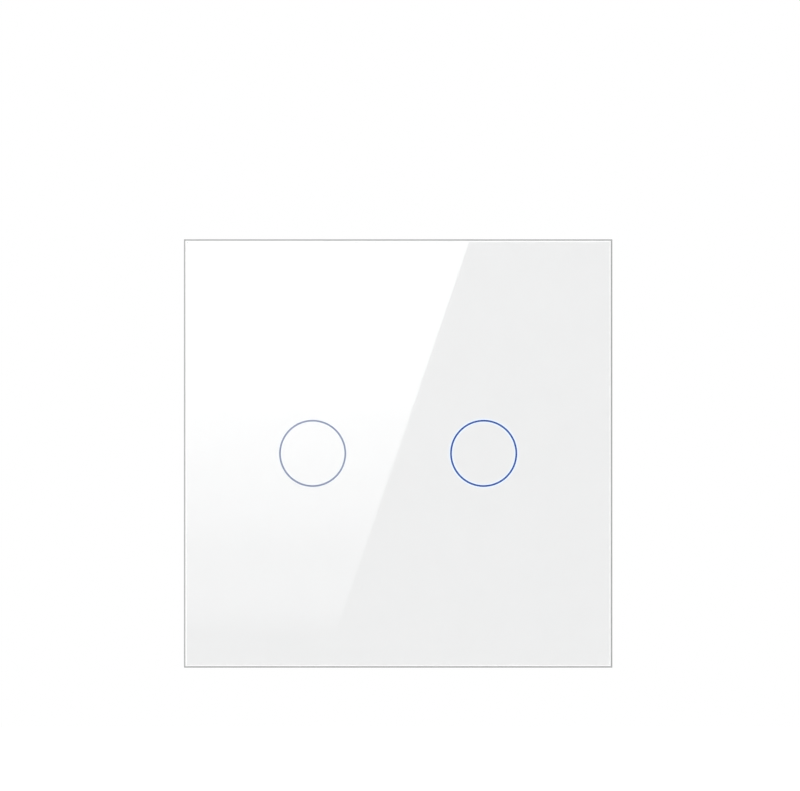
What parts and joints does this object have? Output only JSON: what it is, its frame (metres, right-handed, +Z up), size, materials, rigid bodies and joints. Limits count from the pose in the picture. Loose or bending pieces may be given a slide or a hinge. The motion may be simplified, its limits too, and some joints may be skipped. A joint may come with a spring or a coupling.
{
  "type": "touch light switch",
  "caption": "Square white glass touch switch for a wall box, with two thin round light rings on its face, a pull-off front module and a relay box with screw terminals behind.",
  "frame": {"origin": "centre of the plane where the mounting plate meets the wall, midway between the box screws", "axes": "+Z up, +X to the right as seen from the room, +Y into the wall; the glass faces -Y"},
  "size_m": [0.086, 0.037, 0.086],
  "materials": {
    "glass": "clear, polished edges",
    "white_print": "smooth white print",
    "tape": "foam tape",
    "frame_plastic": "fine satin moulding",
    "light_guide": "clear, moulded",
    "board": "solder mask",
    "lamp": "small chip lamps",
    "spring_steel": "drawn wire",
    "chip_black": "moulded",
    "shield": "thin sheet",
    "passives": "fired ceramic",
    "header_black": "moulded",
    "contact_metal": "plated",
    "screw_steel": "zinc plated",
    "box_plastic": "fine texture",
    "relay_cover": "moulded",
    "relay_base": "moulded",
    "copper_wire": "enamelled",
    "iron": "plated",
    "ferrite": "pressed",
    "bobbin": "moulded",
    "winding_tape": "wrapped tape",
    "can_sleeve": "sleeve with bare top",
    "film_box": "moulded box",
    "varistor_coat": "dipped",
    "fuse_cover": "moulded",
    "terminal_plastic": "moulded",
    "clamp_steel": "plated"
  },
  "bodies": {
    "base": {"mounting_plate": "box_plastic", "rear_box": "box_plastic", "case_screws": "screw_steel", "power_board": "board", "socket_header": "header_black", "socket_contacts": "contact_metal", "transformer_core": "ferrite", "transformer_bobbin": "bobbin", "transformer_winding": "winding_tape", "transformer_pins": "contact_metal", "filter_capacitors": "can_sleeve", "safety_capacitor": "film_box", "varistor": "varistor_coat", "fuse": "fuse_cover", "bridge_rectifier": "chip_black", "supply_chip": "chip_black", "driver_transistors": "chip_black", "power_board_chips": "passives", "terminal_housing": "terminal_plastic", "terminal_contacts": "contact_metal", "relay_case_left": "relay_cover", "relay_base_left": "relay_base", "relay_coil_left": "copper_wire", "relay_yoke_left": "iron", "relay_contacts_left": "contact_metal", "relay_case_right": "relay_cover", "relay_base_right": "relay_base", "relay_coil_right": "copper_wire", "relay_yoke_right": "iron", "relay_contacts_right": "contact_metal"},
    "front_module": {"glass_panel": "glass", "back_print": "white_print", "panel_tape": "tape", "front_frame": "frame_plastic", "light_ring_left": "light_guide", "light_ring_right": "light_guide", "touch_board": "board", "touch_spring_left": "spring_steel", "touch_spring_right": "spring_steel", "ring_leds_left": "lamp", "ring_leds_right": "lamp", "touch_controller": "chip_black", "radio_board": "board", "radio_shield": "shield", "touch_board_chips": "passives", "plug_header": "header_black", "plug_pins": "contact_metal", "board_screws": "screw_steel"},
    "relay_armature_left": {"relay_armature_left": "iron"},
    "relay_armature_right": {"relay_armature_right": "iron"},
    "terminal_screw_1": {"terminal_screw_1": "clamp_steel"},
    "terminal_cage_1": {"terminal_cage_1": "clamp_steel"},
    "terminal_screw_2": {"terminal_screw_2": "clamp_steel"},
    "terminal_cage_2": {"terminal_cage_2": "clamp_steel"},
    "terminal_screw_3": {"terminal_screw_3": "clamp_steel"},
    "terminal_cage_3": {"terminal_cage_3": "clamp_steel"},
    "terminal_screw_4": {"terminal_screw_4": "clamp_steel"},
    "terminal_cage_4": {"terminal_cage_4": "clamp_steel"}
  },
  "joints": [
    {"name": "panel_pull", "type": "slide", "parent": "base", "child": "front_module", "axis": [0, -1, 0], "range_m": [0, 0.025]},
    {"name": "terminal_screw_turn_1", "type": "hinge", "parent": "base", "child": "terminal_screw_1", "pos_m": [-0.01143, 0.012, -0.0189], "axis": [0, -1, 0], "range_deg": [0, 1800]},
    {"name": "terminal_cage_rise_1", "type": "slide", "parent": "base", "child": "terminal_cage_1", "axis": [0, 1, 0], "range_m": [0, 0.0025]},
    {"name": "terminal_screw_turn_2", "type": "hinge", "parent": "base", "child": "terminal_screw_2", "pos_m": [-0.00381, 0.012, -0.0189], "axis": [0, -1, 0], "range_deg": [0, 1800]},
    {"name": "terminal_cage_rise_2", "type": "slide", "parent": "base", "child": "terminal_cage_2", "axis": [0, 1, 0], "range_m": [0, 0.0025]},
    {"name": "terminal_screw_turn_3", "type": "hinge", "parent": "base", "child": "terminal_screw_3", "pos_m": [0.00381, 0.012, -0.0189], "axis": [0, -1, 0], "range_deg": [0, 1800]},
    {"name": "terminal_cage_rise_3", "type": "slide", "parent": "base", "child": "terminal_cage_3", "axis": [0, 1, 0], "range_m": [0, 0.0025]},
    {"name": "terminal_screw_turn_4", "type": "hinge", "parent": "base", "child": "terminal_screw_4", "pos_m": [0.01143, 0.012, -0.0189], "axis": [0, -1, 0], "range_deg": [0, 1800]},
    {"name": "terminal_cage_rise_4", "type": "slide", "parent": "base", "child": "terminal_cage_4", "axis": [0, 1, 0], "range_m": [0, 0.0025]},
    {"name": "relay_armature_rock_left", "type": "hinge", "parent": "base", "child": "relay_armature_left", "pos_m": [-0.0172, 0.0148, -0.001], "axis": [1, 0, 0], "range_deg": [0, 3.4], "stiffness_Nm_per_rad": 0.002, "springref_deg": -5.73},
    {"name": "relay_armature_rock_right", "type": "hinge", "parent": "base", "child": "relay_armature_right", "pos_m": [0.0172, 0.0148, -0.001], "axis": [1, 0, 0], "range_deg": [0, 3.4], "stiffness_Nm_per_rad": 0.002, "springref_deg": -5.73}
  ],
  "couplings": [
    {"joint": "terminal_screw_turn_1", "follows": "terminal_cage_rise_1", "rad_per_m": 12566},
    {"joint": "terminal_screw_turn_2", "follows": "terminal_cage_rise_2", "rad_per_m": 12566},
    {"joint": "terminal_screw_turn_3", "follows": "terminal_cage_rise_3", "rad_per_m": 12566},
    {"joint": "terminal_screw_turn_4", "follows": "terminal_cage_rise_4", "rad_per_m": 12566}
  ]
}
